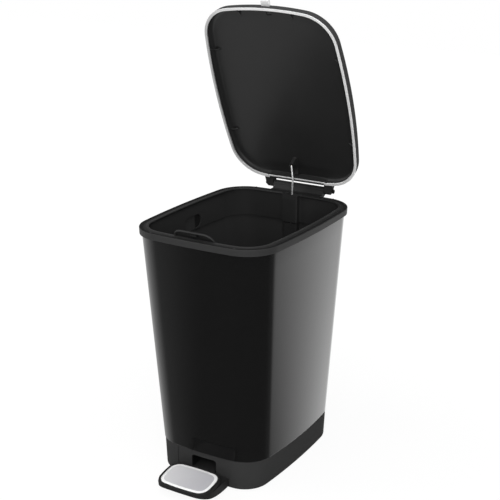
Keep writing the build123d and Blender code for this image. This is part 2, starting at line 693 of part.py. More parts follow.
with BuildPart() as pedal_lever:
    lift(PAD_LOW, PEDAL_TOP + 0.3, inset(PAD, -PEDAL_RIM), inset(PAD, -PEDAL_RIM + 1.5), base=LEVER)
    fillet(pedal_lever.faces().sort_by(Axis(LEVER.origin, LEVER.z_dir))[-1].edges(), 2.5)
    add(pedal_tray.part)
    add(tray_hollow.part, mode=Mode.SUBTRACT)
    with BuildSketch(side_of(LEVER, -48)):
        with BuildLine():
            Polyline(
                (TRAY_SPLIT - 1, PAD_LOW - 1),
                (-92, 15.6),
                (-92, PAD_LOW + 1),
                (TRAY_SPLIT - 1, PAD_LOW + 1),
                close=True,
            )
        make_face()
    extrude(amount=96)
    extrude(outline(LEVER.offset(PEDAL_TOP - PAD_SEAT), inset(PAD, -0.3)), amount=6, mode=Mode.SUBTRACT)
    with BuildSketch(LEVER.offset(NECK_LOW)):
        with Locations((0, PEDAL_Y + PEDAL_L / 2 - 4)):
            Rectangle(2 * NECK_HALF, 12 - PEDAL_Y - PEDAL_L / 2 + 4, align=(Align.CENTER, Align.MIN))
    extrude(amount=NECK_TOP - NECK_LOW)
    with BuildSketch(LEVER.offset(NECK_LOW)):
        with Locations((0, PEDAL_Y + PEDAL_L / 2 - 8)):
            Rectangle(
                2 * (NECK_HALF - LEVER_WALL),
                8 - PEDAL_Y - PEDAL_L / 2 + 4,
                align=(Align.CENTER, Align.MIN),
            )
    extrude(amount=NECK_TOP - NECK_LOW - LEVER_WALL, mode=Mode.SUBTRACT)
    for low in (-NECK_HALF, NECK_HALF - 6):
        with BuildSketch(side_of(LEVER, low)):
            Circle(9)
        extrude(amount=6)
    with BuildSketch(LEVER.offset(ARM_LOW)):
        with BuildLine():
            Polyline(
                (-NECK_HALF, 6),
                (NECK_HALF, 6),
                (TONGUE_OUT, 240),
                (TONGUE_OUT, ARM_END),
                (TONGUE_IN, ARM_END),
                (TONGUE_IN, 240),
                close=True,
            )
        make_face()
    extrude(amount=ARM_TOP - ARM_LOW)
    with BuildSketch(LEVER.offset(ARM_LOW)):
        with BuildLine():
            Polyline((-21, 14), (21, 14), (8.4, 180), (-3, 180), close=True)
        make_face()
    extrude(amount=ARM_TOP - ARM_LOW - LEVER_WALL, mode=Mode.SUBTRACT)
    with BuildSketch(side_of(LEVER, -NECK_HALF)):
        Circle(PIVOT_D / 2 + 0.3)
    extrude(amount=2 * NECK_HALF, mode=Mode.SUBTRACT)
    with BuildSketch(side_of(LEVER, TONGUE_IN - 1)):
        with Locations(EYE):
            SlotOverall(EYE_LENGTH, ROD_D + 1.2)
    extrude(amount=TONGUE_OUT - TONGUE_IN + 2, mode=Mode.SUBTRACT)
pedal_lever.part.label = "pedal_lever"

# Pedal plate: bevelled metal tread in the lever's pad
with BuildPart() as pedal_plate:
    extrude(outline(LEVER.offset(PEDAL_TOP - PAD_SEAT + 0.1), PAD), amount=PAD_SEAT - TREAD_RISE - 0.1)
    lift(PEDAL_TOP - TREAD_RISE, PEDAL_TOP, PAD, inset(PAD, TREAD_BEVEL), base=LEVER)
pedal_plate.part.label = "pedal_plate"

# Lift rod: one wire with a hooked foot in the lever and a round tip under the lid
with BuildPart() as lift_rod:
    with BuildLine() as wire:
        FilletPolyline(
            ROD.from_local_coords((14, 0, 0)),
            ROD.from_local_coords((0, 0, 0)),
            ROD.from_local_coords((0, 0, ROD_LENGTH)),
            ROD.from_local_coords((ROD_TIP_SIDE, 0, ROD_LENGTH + ROD_TIP_RISE - ROD_D / 2)),
            radius=4,
        )
    with BuildSketch(Plane(origin=wire.line @ 0, z_dir=wire.line % 0)):
        Circle(ROD_D / 2)
    sweep()
    with Locations(wire.line @ 1):
        Sphere(ROD_D / 2)
lift_rod.part.label = "lift_rod"

with BuildPart() as rod_clip:
    with BuildSketch(side_of(ROD, TONGUE_OUT - ROD_X + 0.6)):
        Circle(5)
        Circle(ROD_D / 2 + 0.05, mode=Mode.SUBTRACT)
    extrude(amount=1.4)
rod_clip.part.label = "rod_clip"

PIECES = (body_tub, rod_cover, rod_guide, top_frame, lid_buffers, bag_ring, base_skirt, pedal_surround)
PIECES += (base_feet, base_screws, hinge_pin, hinge_caps, pivot_pin, pivot_clips)
PIECES += (lid_shell, lid_trim, lock_cap, lock_hook, pedal_lever, pedal_plate, lift_rod, rod_clip)
for piece in PIECES:
    export_step(piece.part, f"parts/{piece.part.label}.step")
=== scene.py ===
"""Looks of the pedal trash can: finishes, moulded details, studio and camera. Metres, +Z up."""

import json
from math import cos, radians, sin

import bpy
import numpy as np
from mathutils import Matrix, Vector


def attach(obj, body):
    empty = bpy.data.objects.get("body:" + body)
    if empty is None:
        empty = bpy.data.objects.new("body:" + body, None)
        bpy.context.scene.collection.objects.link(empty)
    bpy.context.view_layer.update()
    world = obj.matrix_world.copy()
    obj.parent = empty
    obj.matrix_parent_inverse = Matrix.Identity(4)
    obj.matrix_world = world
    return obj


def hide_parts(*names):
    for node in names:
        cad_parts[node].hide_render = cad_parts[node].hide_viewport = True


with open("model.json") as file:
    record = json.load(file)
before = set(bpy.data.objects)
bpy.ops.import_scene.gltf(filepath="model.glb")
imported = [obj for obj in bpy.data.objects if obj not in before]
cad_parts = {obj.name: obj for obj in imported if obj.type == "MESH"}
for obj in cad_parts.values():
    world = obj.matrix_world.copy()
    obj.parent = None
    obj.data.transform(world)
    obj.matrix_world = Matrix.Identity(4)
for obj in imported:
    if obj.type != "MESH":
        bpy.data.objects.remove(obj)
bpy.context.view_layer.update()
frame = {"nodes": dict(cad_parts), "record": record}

# Outlines in millimetres: width, depth, bow of the sides and of the ends, corner radius, middle's Y
LID_MIDDLE, PAD_MIDDLE = -233.35, -127.6
TUB_FOOT = (276.0, 363.6, 13.5, 11.1, 63.0, 3.7)
TUB_RIM = (324.0, 417.3, 10.3, 7.5, 68.0, 0.0)
RIM = (334.0, 427.3, 10.3, 7.5, 73.0, 0.0)
LID_EDGE = (337.2, 436.5, 14.7, 16.6, 78.5, LID_MIDDLE)
PAD = (119.2, 73.2, 4.0, 3.0, 22.0, PAD_MIDDLE)

# Heights and places on the solids, in millimetres; the lid's are in its own plane, from the hinge
TUB_FOOT_Z, TUB_LOW, TUB_TOP, TUB_FLOOR, TUB_WALL = 68.0, 68.2, 546.0, 92.0, 2.5
RIM_TOP = 552.0
ROD_HOLE, HOLE_RADIUS, HOLE_STRAIGHT = (-1.0, 168.2), 4.5, 3.5
BOSSES = np.array([(x, y) for x in (-80.0, 80.0) for y in (-95.0, 110.0)])
FEET = np.array([(-88.0, -125.0), (88.0, -125.0), (-88.0, 135.0), (88.0, 135.0)])
TAB_LEAN, TAB_Y, TAB_Z = radians(31.3), -190.8, 549.1
TAB_HALF, TAB_RISE, TAB_THICK = 50.3, 24.0, 2.4
PEDAL_TILT, PIVOT_Y, PIVOT_Z = radians(9.4), -100.0, 26.0
PAD_TOP = 29.0
LID_OPEN, HINGE_Y, HINGE_Z = radians(68.66), 235.0, 561.0
CROWN_RADIUS = 4000.0
NOTCH_HALF, NOTCH_Y = 70.0, -23.5
LOCK_X, LOCK_HALF = 0.5, 9.5

# Details that are added here, in millimetres
TUB_BEVEL, TUB_EDGE, TUB_COVE = 0.4, 0.9, 9.0
TREAD_HOLLOW = 0.2
TAB_BEAD, TAB_BEAD_IN, TAB_BEAD_SUNK = 2.0, 2.2, 0.6
LID_INSIDE, LINING_THICK = 14.9, 0.8
COVE_IN, COVE_LOW, COVE_REACH, COVE_SWELL = 3.8, -1.0, 11.0, 3.0
SEAM_START, SEAM_CORNER, SEAM_END = -440.0, (-1.9, -428.7), (7.6, -428.4)
SEAM_BEND, SEAM_HALF, SEAM_RISE = 1.5, 1.3, 0.5
SCREW_HEAD, SCREW_COLLAR, SCREW_TIP = 4.0, 5.9, 59.9
THREAD_CORE, THREAD_DEPTH, THREAD_PITCH = 1.6, 0.4, 1.8
FOOT_RIBS_END = 9.4

# Fins: the way they run, the height of their tops, and the places where they start
FINS = (
    ((1, 0), 12.4, [(-161.0, -336.0), (-161.0, -132.0)]),
    ((-1, 0), 12.4, [(161.0, -334.0), (161.0, -130.0)]),
    ((0, 1), 10.8, [(-69.0, -443.3), (56.0, -444.3)]),
)

# Zones of the finishes: the middle and the half size of a box, in metres. Besides the scuffed zone, they
# place painted shade and painted light
SCUFF = (0.028, -0.18, 0.075), (0.062, 0.03, 0.03)
HOLE_SHADE = (-0.155, 0.0455, 0.506), (0.03, 0.011, 0.026)
LIGHT_PAINTED_CHANNEL = (0.0205, 0.18, 0.45), (0.0045, 0.06, 0.135)
SHADE_PAINTED_LEDGE = (0.0015, -0.2005, 0.563), (0.013, 0.009, 0.0055)
SHADE_PAINTED_RIB = (-0.0058, 0.2125, 0.597), (0.0075, 0.03, 0.042)
SHADE_PAINTED_EARS = (0.0, 0.235, 0.561), (0.13, 0.026, 0.026)
SHADE_PAINTED_HEEL = (0.0, 0.222, 0.592), (0.095, 0.024, 0.026)


class Value:
    """A node's output that takes part in Python arithmetic: each operation adds one Math node."""

    def __init__(self, finish, socket):
        self.finish = finish
        self.socket = socket

    def math(self, operation, *values):
        """One Math node on these values, numbers or links."""
        return self.finish.node("ShaderNodeMath", {"operation": operation}, dict(enumerate(values)))

    def __add__(self, other):
        return self.math("ADD", self, other)

    def __radd__(self, other):
        return self.math("ADD", other, self)

    def __sub__(self, other):
        return self.math("SUBTRACT", self, other)

    def __rsub__(self, other):
        return self.math("SUBTRACT", other, self)

    def __mul__(self, other):
        return self.math("MULTIPLY", self, other)

    def __rmul__(self, other):
        return self.math("MULTIPLY", other, self)

    def between(self, low, high):
        """A smooth step from 0 at low to 1 at high."""
        limits = {"Value": self, "From Min": low, "From Max": high}
        return self.finish.node("ShaderNodeMapRange", {"interpolation_type": "SMOOTHSTEP"}, limits)


class Finish:
    """One node tree, of a material or of the world, and the few nodes that every finish uses."""

    def __init__(self, tree):
        self.tree = tree
        self.tree.nodes.clear()

    def node(self, kind, settings=None, inputs=None, out=0):
        """A node of this type: its settings first, then its sockets' values or links."""
        node = self.tree.nodes.new(kind)
        for name, value in (settings or {}).items():
            setattr(node, name, value)
        for name, value in (inputs or {}).items():
            if isinstance(value, Value):
                self.tree.links.new(value.socket, node.inputs[name])
            else:
                node.inputs[name].default_value = value
        return Value(self, node.outputs[out]) if node.outputs else None

    def place(self, kind="Object"):
        """Where the shaded point is."""
        return self.node("ShaderNodeTexCoord", out=kind)

    def stretched(self, *scale):
        """The point's place with each axis scaled, for marks that run along one way."""
        return self.node("ShaderNodeMapping", None, {"Vector": self.place(), "Scale": scale})

    def noise(self, scale, detail=2.0, where=None):
        """Soft random mottling, from 0 to 1, this many features to a metre."""
        where = where or self.place()
        sockets = {"Vector": where, "Scale": scale, "Detail": detail}
        return self.node("ShaderNodeTexNoise", None, sockets)

    def axis(self, name, where=None):
        """One coordinate of the point."""
        where = where or self.place()
        return self.node("ShaderNodeSeparateXYZ", None, {"Vector": where}, out=name)

    def painted(self, name):
        """A share stored on the piece's own points."""
        return self.node("ShaderNodeAttribute", {"attribute_name": name}, out="Fac")

    def tint(self, share, low, high):
        """A colour between two others."""
        colours = {0: share, 6: (*low, 1.0), 7: (*high, 1.0)}
        return self.node("ShaderNodeMix", {"data_type": "RGBA"}, colours, out=2)

    def relief(self, height, depth):
        """The surface's normal over a fine height pattern of this depth in metres."""
        return self.node("ShaderNodeBump", None, {"Height": height, "Distance": depth})

    def box(self, centre, half):
        """A share that is 1 in the middle of a box in metres and falls away to 0 at its sides."""
        share = 1.0
        for name, middle, reach in zip("XYZ", centre, half):
            away = (self.axis(name) - middle) * (1 / reach)
            share = share * (1 - (away * away).between(0.5, 1.0))
        return share

    def shader(self, sockets):
        """The shader of a solid surface."""
        return self.node("ShaderNodeBsdfPrincipled", None, sockets)

    def surface(self, shader):
        """Ends the tree in a shader."""
        self.node("ShaderNodeOutputMaterial", None, {"Surface": shader})


def new_finish(name):
    """A new material, ready for its nodes."""
    material = bpy.data.materials.new(name)
    material.use_nodes = True
    return material, Finish(material.node_tree)


def grey(level):
    """A neutral colour."""
    return (level, level, level)


def side_walls(f):
    """Two shares inside the can: the left wall up to the rear corner, and the rear wall with corners."""
    rear = f.axis("Y").between(0.13, 0.185)
    left = (0 - f.axis("X")).between(0.06, 0.12) * (1 - rear)
    return left, rear


def polished_black():
    """The tub: polished outside with faint flow marks, dull where shoes scuff it, satin inside with
    painted light on the left wall, painted shade on the left part of the rear wall and a painted shadow
    behind the bag ring's hole.
    """
    material, f = new_finish("polished_black")
    inside = f.painted("inside")
    flow = f.noise(14, 3)
    marks = f.noise(1.0, 4, f.stretched(900, 900, 25)).between(0.6, 0.8)
    dust = f.noise(700, 2).between(0.62, 0.78) * (1 - f.axis("Z").between(0.06, 0.3))
    gloss = 0.07 + flow * 0.03 + marks * 0.04 + dust * 0.1
    polished = f.shader({
        "Base Color": f.tint(flow * 0.5 + dust * 0.2, grey(0.004), grey(0.006)),
        "Roughness": gloss,
        "Normal": f.relief(f.noise(90, 1) + marks * 0.1, 0.00001),
    })
    left, rear = side_walls(f)
    corner = rear * (0 - f.axis("X")).between(-0.02, 0.06)
    # Painted light and shade inside: the left wall paler, the left part of the rear wall darker, a painted
    # shadow on the wall seen through the hole
    tone = (0.5 + left * 0.38 - corner * 0.05) * (1 - f.box(*HOLE_SHADE) * 0.75)
    dull = f.shader({
        "Base Color": f.tint(inside * tone + flow * 0.07, grey(0.0035), grey(0.045)),
        "Roughness": 0.7 + marks * 0.2,
        "Specular IOR Level": 0.08,
    })
    scuffed = f.box(*SCUFF) * (0.9 + marks * 0.1)
    satin = inside + (1 - inside) * scuffed
    f.surface(f.node("ShaderNodeMixShader", None, {0: satin, 1: polished, 2: dull}))
    return material


def ring_painted_light_and_shade(f):
    """Painted shade and painted light on the bag ring and the rod's channel.

    Painted shade on the ledge, at the rear and on top toward the rear; painted light along the left and on
    the channel's right side.
    """
    even = 0.34
    left, rear = side_walls(f)
    top = f.axis("Z").between(0.538, 0.547)
    beside = f.axis("X").between(0.013, 0.019) * (1 - f.axis("X").between(0.03, 0.07))
    # Painted shade at the rear and painted light along the left wall
    wall_tone = rear * (1 - beside) * 0.17 - left * 0.31
    top_tone = f.axis("Y").between(0.09, 0.17) * 0.05
    paler = (0 - f.axis("X")).between(0.03, 0.15) * 0.16 + f.box(*LIGHT_PAINTED_CHANNEL) * 0.25
    return f.box(*SHADE_PAINTED_LEDGE) + even + wall_tone * (1 - top) + top_tone * top - paler


def rim_painted_shade(f):
    """Painted shade on the rim and the beads on the ring: darker on top, at the right of the rear."""
    right = f.axis("X").between(-0.03, 0.04)
    return right * f.axis("Y").between(0.12, 0.18) * f.axis("Z").between(0.5485, 0.551) * 0.62


def lid_rise(f):
    """How high the point lies above the lid's own plane, in metres."""
    back, up = f.axis("Y") - HINGE_Y / 1000, f.axis("Z") - HINGE_Z / 1000
    return back * sin(LID_OPEN) + up * cos(LID_OPEN)


def lid_painted_shade(f):
    """Painted shade on the lid's outer moulding: darker on the ears and the rib, but not through to the
    top.
    """
    return f.box(*SHADE_PAINTED_EARS) + f.box(*SHADE_PAINTED_RIB) * (1 - lid_rise(f).between(0.009, 0.012))


def satin_black(name, level, roughness, grain, shine=0.18, painted_tone=None):
    """Fine-grained black moulding: even grain with soft changes in sheen, with painted shade and painted
    light where a painted tone is given.
    """
    material, f = new_finish(name)
    darkening = 2.2
    cloud = f.noise(11, 3)
    pits = f.noise(1500, 3)
    share = cloud * 0.6 + pits * 0.4
    # Painted shade darkens the colour; negative values are painted light and make it paler
    if painted_tone:
        share = share - painted_tone(f) * darkening
    f.surface(f.shader({
        "Base Color": f.tint(share * 0.5 + 0.5, grey(level * 0.4), grey(level * 1.2)),
        "Roughness": roughness + (cloud - 0.5) * 0.1 + (pits - 0.5) * 0.12,
        "Specular IOR Level": shine,
        "Normal": f.relief(pits, grain),
    }))
    return material


def smooth_lid():
    """The lid's inside: smooth and satin on the crown, dull on the wall below it with painted shade there,
    and painted shade near the hinge.
    """
    material, f = new_finish("lid_satin")
    cloud = f.noise(11, 3)
    pits = f.noise(1500, 3)
    dull = 1 - lid_rise(f).between(0.002, 0.0085)
    # Painted shade: darker near the hinge and on the wall below the crown
    share = cloud * 0.3 + pits * 0.2 + 0.5 - f.box(*SHADE_PAINTED_HEEL) * 0.33 - dull * 0.25
    f.surface(f.shader({
        "Base Color": f.tint(share, grey(0.0072), grey(0.0216)),
        "Roughness": 0.32 + (cloud - 0.5) * 0.1 + (pits - 0.5) * 0.12 + dull * 0.45,
        "Specular IOR Level": 0.42,
        "Normal": f.relief(pits, 0.00001),
    }))
    return material


def silver_trim():
    """Metallised plastic: bright, with a faint cloudiness and tiny specks, greyer along the left side as a
    painted darker reflection.
    """
    material, f = new_finish("silver_trim")
    cloud = f.noise(40, 2)
    specks = f.noise(1800, 2).between(0.66, 0.74)
    # Painted reflection: greyer toward the left side
    painted_sheen = (0 - f.axis("X")).between(0.05, 0.17)
    f.surface(f.shader({
        "Base Color": f.tint(painted_sheen * 0.9 + cloud * 0.1, grey(0.97), grey(0.52)),
        "Metallic": 0.35,
        "Roughness": 0.32 + cloud * 0.1 + specks * 0.15,
        "Normal": f.relief(f.noise(260, 2), 0.00001),
    }))
    return material


def drawn_steel():
    """Drawn wire and pins: fine lines along the length, slightly darker in the grooves."""
    material, f = new_finish("drawn_steel")
    lines = f.noise(1.0, 3, f.stretched(2600, 2600, 40))
    f.surface(f.shader({
        "Base Color": f.tint(lines, grey(0.78), grey(0.9)),
        "Metallic": 0.85,
        "Roughness": 0.26 + lines * 0.14,
        "Normal": f.relief(lines, 0.00002),
    }))
    return material


def brushed_tread():
    """The tread: satin metal brushed across, with a painted sheen paler to the left, and a polished bevel
    round its edge whose near-white colour is a painted highlight.
    """
    material, f = new_finish("brushed_tread")
    bevel = f.painted("bevel")
    lines = f.noise(1.0, 4, f.stretched(60, 2400, 2400))
    painted_sheen = 1 - f.axis("X").between(-0.075, 0.075)
    cool_metal = (0.565, 0.56, 0.592)
    f.surface(f.shader({
        # Painted sheen paler to the left; the bevel's near-white colour is a painted highlight
        "Base Color": f.tint(painted_sheen * 0.5 * (1 - bevel) + bevel, cool_metal, grey(0.98)),
        "Metallic": 0.25 - bevel * 0.2,
        "Roughness": 0.42 + lines * 0.16 - bevel * 0.1,
        "Normal": f.relief(lines * (1 - bevel), 0.00002),
    }))
    return material


def soft_rubber():
    """Matt rubber with a dusty bloom."""
    material, f = new_finish("soft_rubber")
    bloom = f.noise(180, 3)
    f.surface(f.shader({
        "Base Color": f.tint(bloom, grey(0.014), grey(0.03)),
        "Roughness": 0.68 + bloom * 0.2,
        "Normal": f.relief(f.noise(900, 2), 0.00004),
    }))
    return material


FINISHES = {
    "body_black": polished_black(),
    "frame_black": satin_black("frame_satin", 0.03, 0.55, 0.00003, painted_tone=rim_painted_shade),
    "guide_black": satin_black("guide_satin", 0.013, 0.6, 0.00002, 0.06),
    "lid_black": smooth_lid(),
    "trim_silver": silver_trim(),
    "steel": drawn_steel(),
    "tread": brushed_tread(),
    "rubber": soft_rubber(),
}
base_finish = satin_black("base_satin", 0.037, 0.75, 0.00003, 0.08)
inner_finish = satin_black("ring_satin", 0.03, 0.6, 0.00002, 0.1, ring_painted_light_and_shade)
OTHERS = {
    "base_skirt": base_finish,
    "pedal_surround": base_finish,
    "bag_ring": inner_finish,
    "rod_cover": inner_finish,
    "lid_shell": satin_black("lid_outside", 0.053, 0.75, 0.00003, 0.08, lid_painted_shade),
    "hinge_pin": FINISHES["guide_black"],
    "pedal_lever": satin_black("lever_satin", 0.016, 0.6, 0.00002, 0.14),
}
for part in frame["record"]["subparts"]:
    node = frame["nodes"][part["node"]]
    node.data.materials.clear()
    node.data.materials.append(OTHERS.get(part["node"], FINISHES[part["material_slot"]]))


def outline(size, counts=(20, 24, 20)):
    """A closed loop round a rounded rectangle with bowed sides, the same number of points for any size.

    Each quarter is three arcs that touch: a wide arc for the side, the corner's arc and a wide arc for
    the end. The corner's centre lies where two circles cross, one inside each wide arc by its radius.
    """
    width, depth, bow_x, bow_y, corner, back = size
    x, y = width / 2, depth / 2
    side = ((y - bow_y) ** 2 + bow_x**2) / (2 * bow_x)
    end = ((x - bow_x) ** 2 + bow_y**2) / (2 * bow_y)
    a, b = np.array([x - side, 0.0]), np.array([0.0, y - end])
    gap = np.hypot(*(b - a))
    along = ((side - corner) ** 2 - (end - corner) ** 2 + gap**2) / (2 * gap)
    across = np.sqrt((side - corner) ** 2 - along**2)
    way = (b - a) / gap
    centre = a + along * way + across * np.array([-way[1], way[0]])
    first = np.arctan2(*(centre - a)[::-1])
    second = np.arctan2(*(centre - b)[::-1])
    arcs = (
        (a, side, np.linspace(0, first, counts[0])),
        (centre, corner, np.linspace(first, second, counts[1] + 1)[1:]),
        (b, end, np.linspace(second, np.pi / 2, counts[2] + 1)[1:]),
    )
    quarter = np.concatenate([m + r * np.stack([np.cos(t), np.sin(t)], -1) for m, r, t in arcs])
    half = np.concatenate([quarter, (quarter * [-1, 1])[::-1][1:]])
    return np.concatenate([half, -half[1:-1]]) + [0, back]


def inset(size, amount):
    """The same outline, drawn in on all sides."""
    width, depth, bow_x, bow_y, corner, back = size
    return (width - 2 * amount, depth - 2 * amount, bow_x, bow_y, corner - amount, back)


def level(loop, z):
    """A flat loop at a height."""
    return np.column_stack([loop, np.full(len(loop), z)])


def ring(points, radius, z, count=32):
    """Round loops of this radius and height about several points, one loop for each."""
    turn = np.linspace(0, 2 * np.pi, count, endpoint=False)
    circle = np.stack([np.cos(turn), np.sin(turn)], -1) * radius
    flat = points[:, None, :] + circle[None]
    return np.concatenate([flat, np.full((*flat.shape[:2], 1), z)], -1)


def on_plane(points, tilt, y, z):
    """Points of a tilted plane in the can's own frame: the plane turned about the X axis, then moved."""
    turn = np.array([[1, 0, 0], [0, cos(tilt), sin(tilt)], [0, -sin(tilt), cos(tilt)]])
    return points @ turn + [0, y, z]


def add_piece(name, grids, body, slot, node=None, closed=False, shares=None):
    """A mesh of quads over grids of points in millimetres: rows of closed loops, bottom row first.

    The rows go up the outside of the piece, so that the faces look outward. Closed joins the last row
    to the first; otherwise one face closes each end. Shares are named values of each row.
    """
    points, faces, start = [], [], 0
    for grid in grids:
        rows, count = grid.shape[:2]
        index = start + np.arange(rows * count).reshape(rows, count)
        low = index if closed else index[:-1]
        high = np.roll(index, -1, 0) if closed else index[1:]
        quads = np.stack([low, np.roll(low, -1, 1), np.roll(high, -1, 1), high], -1)
        faces += quads.reshape(-1, 4).tolist()
        if not closed:
            faces += [index[0, ::-1].tolist(), index[-1].tolist()]
        points.append(grid.reshape(-1, 3))
        start += rows * count
    mesh = bpy.data.meshes.new(name)
    mesh.from_pydata((np.concatenate(points) / 1000).tolist(), [], faces)
    mesh.polygons.foreach_set("use_smooth", np.ones(len(mesh.polygons), bool))
    for title, values in (shares or {}).items():
        layer = mesh.attributes.new(title, "FLOAT", "POINT")
        layer.data.foreach_set("value", np.repeat(np.asarray(values, np.float32), grids[0].shape[1]))
    mesh.materials.append(FINISHES[slot])
    piece = bpy.data.objects.new(name, mesh)
    bpy.context.scene.collection.objects.link(piece)
    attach(piece, body)
    if node:
        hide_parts(node)


def tub():
    """The tub: its outline carried up outside, over the rounded edge, down inside and across the floor.

    The outline changes in a straight line with height. The floor's points run in straight lines
    from the foot of the wall to the rod's hole, a slot with round ends.
    """
    def wall(z, amount):
        share = (z - TUB_FOOT_Z) / (TUB_TOP - TUB_FOOT_Z)
        size = np.array(TUB_FOOT) + (np.array(TUB_RIM) - TUB_FOOT) * share
        return level(outline(inset(size, amount)), z)

    turn = np.linspace(0, np.pi / 2, 7)
    edge = list(zip(TUB_TOP - TUB_EDGE + TUB_EDGE * np.sin(turn), TUB_EDGE * (1 - np.cos(turn))))
    cove = zip(TUB_FLOOR + TUB_COVE * (1 - np.sin(turn[1:])), TUB_COVE * (1 - np.cos(turn[1:])))
    up = [wall(TUB_LOW + TUB_BEVEL, 0.0)]
    up += [wall(z, 0.0) for z in np.linspace(TUB_LOW + 1, TUB_TOP - TUB_EDGE, 12)]
    over = [wall(z, amount) for z, amount in edge[1:]]
    back = [wall(z, TUB_WALL - amount) for z, amount in edge[::-1]]
    down = [wall(z, TUB_WALL) for z in np.linspace(TUB_TOP - TUB_EDGE, TUB_FLOOR + TUB_COVE, 12)[1:]]
    foot = [wall(z, TUB_WALL + amount) for z, amount in cove]
    away = foot[-1][:, :2] - ROD_HOLE
    away /= np.hypot(*away.T)[:, None]
    flat = HOLE_RADIUS / np.maximum(np.abs(away[:, 1]), 1e-6)
    shift = HOLE_STRAIGHT * np.abs(away)
    round_end = shift[:, 0] + np.sqrt(HOLE_RADIUS**2 - shift[:, 1] ** 2)
    reach = np.where(flat * np.abs(away[:, 0]) < HOLE_STRAIGHT, flat, round_end)
    hole = away * reach[:, None] + ROD_HOLE
    hole_top, hole_low = level(hole, TUB_FLOOR), level(hole, TUB_FLOOR - TUB_WALL)
    under = wall(TUB_FLOOR - TUB_WALL, TUB_WALL)
    inner = [foot[-1] + (hole_top - foot[-1]) * share for share in np.linspace(0, 1, 15)[1:]]
    outer = [hole_low + (under - hole_low) * share for share in np.linspace(0, 1, 8)]
    lower = ((9, 0), (TUB_BEVEL, 0), (0, TUB_BEVEL), (0, TUB_WALL - TUB_BEVEL))
    skirt = [wall(TUB_LOW + z, TUB_WALL - out) for z, out in lower]
    rows = up + over + back + down + foot + inner + outer + skirt
    inside = np.zeros(len(rows))
    inside[len(up) + len(over):] = 1.0
    return np.array(rows), inside


def tub_bosses():
    """Four tubes under the tub's floor for the screws: a closed profile turned about each middle."""
    profile = [(2.1, 70), (2.1, 40.5), (2.6, 40), (6.5, 40), (7, 40.5), (7, 89.6), (2.1, 89.6)]
    rows = np.array([ring(BOSSES, r, z) for r, z in profile])
    return list(rows.swapaxes(0, 1))


def tread():
    """The tread: its outline carried up the edge, over the bevel and in to a faint hollow."""
    edge = [(0.4, 26.9), (0, 27.2), (0, 27.5)]
    slope = [(0.12, 27.68), (0.5, 27.85), (5.6, 28.8), (6.2, 28.95)]
    rows = [level(outline(inset(PAD, amount)), z) for amount, z in edge + slope + [(6.8, PAD_TOP)]]
    middle = np.array([0, PAD_MIDDLE, PAD_TOP])
    spread = rows[-1] - middle
    shares = np.linspace(1, 0.02, 14)[1:]
    rows += [middle + spread * share - [0, 0, TREAD_HOLLOW * (1 - share * share)] for share in shares]
    bevel = np.zeros(len(rows))
    bevel[len(edge):len(edge + slope)] = 1.0
    return on_plane(np.array(rows), PEDAL_TILT, PIVOT_Y, PIVOT_Z), bevel


def bead(path, out, half_width, half_height, base):
    """An oval carried along a flat path: its width lies along the outward ways, its height on a base."""
    turn = np.linspace(0, 2 * np.pi, 16, endpoint=False)
    across = path[:, None] + half_width * out[:, None] * np.cos(turn)[None, :, None]
    rise = np.broadcast_to(base, len(path))[:, None] + half_height * np.sin(turn)
    return np.concatenate([across, rise[..., None]], -1)


def tab_bead():
    """The half-round bead along the bag ring's tab: a circle carried along two arcs and a straight."""
    turn = np.linspace(0, np.pi / 2, 20)
    right = np.stack([np.cos(turn), np.sin(turn)], -1)
    arc = [TAB_HALF - TAB_RISE, 0] + (TAB_RISE - TAB_BEAD_IN) * right
    path = np.concatenate([arc, (arc * [-1, 1])[::-1]])
    out = np.concatenate([right, (right * [-1, 1])[::-1]])
    rows = bead(path, out, TAB_BEAD, TAB_BEAD, TAB_THICK - TAB_BEAD_SUNK)
    up = np.array([-sin(TAB_LEAN), cos(TAB_LEAN)])
    lean = np.array([-cos(TAB_LEAN), -sin(TAB_LEAN)])
    side = rows[..., 1:2] * up + rows[..., 2:] * lean + [TAB_Y, TAB_Z]
    return np.concatenate([rows[..., :1], side], -1)[:, ::-1]


def lid_loop(amount, z, step):
    """The lid's outline drawn in by an amount, with the step at the hinge drawn in by its own amount."""
    loop = outline(inset(LID_EDGE, amount), (20, 24, 40))
    notch = (np.abs(loop[:, 0]) < NOTCH_HALF + step) & (loop[:, 1] > LID_MIDDLE)
    loop[:, 1] = np.where(notch, np.minimum(loop[:, 1], NOTCH_Y - step), loop[:, 1])
    return level(loop, z)


def crown(points):
    """The height of the lid's inside at these points: part of a large sphere."""
    reach = np.hypot(points[:, 0], points[:, 1] - LID_MIDDLE)
    return LID_INSIDE - CROWN_RADIUS + np.sqrt(CROWN_RADIUS**2 - reach**2)


def trim():
    """The bright ring: an angle section with a faint crown, carried round the lid's edge.

    Its inner leg stands up into the lid, and both legs are shorter at the hinge.
    """
    profile = [
        (1.1, -7.7), (0.75, -7.55), (0.6, -7.2), (0.6, -6.35), (4.9, -6.35), (5.1, -4.5), (6.1, -4.5),
        (6.2, -4.7), (6.2, -7.4), (5.9, -7.7), (4.7, -7.82), (3.3, -7.86), (2.0, -7.82),
    ]
    step_share, short_top = 0.58, -6.3
    rows = np.array([lid_loop(amount, z, amount * step_share) for amount, z in profile])
    short = (np.abs(rows[0, :, 0]) < NOTCH_HALF + 6) & (rows[0, :, 1] > NOTCH_Y - 9)
    rows[:, short, 2] = np.minimum(rows[:, short, 2], short_top)
    return on_plane(rows, -LID_OPEN, HINGE_Y, HINGE_Z)


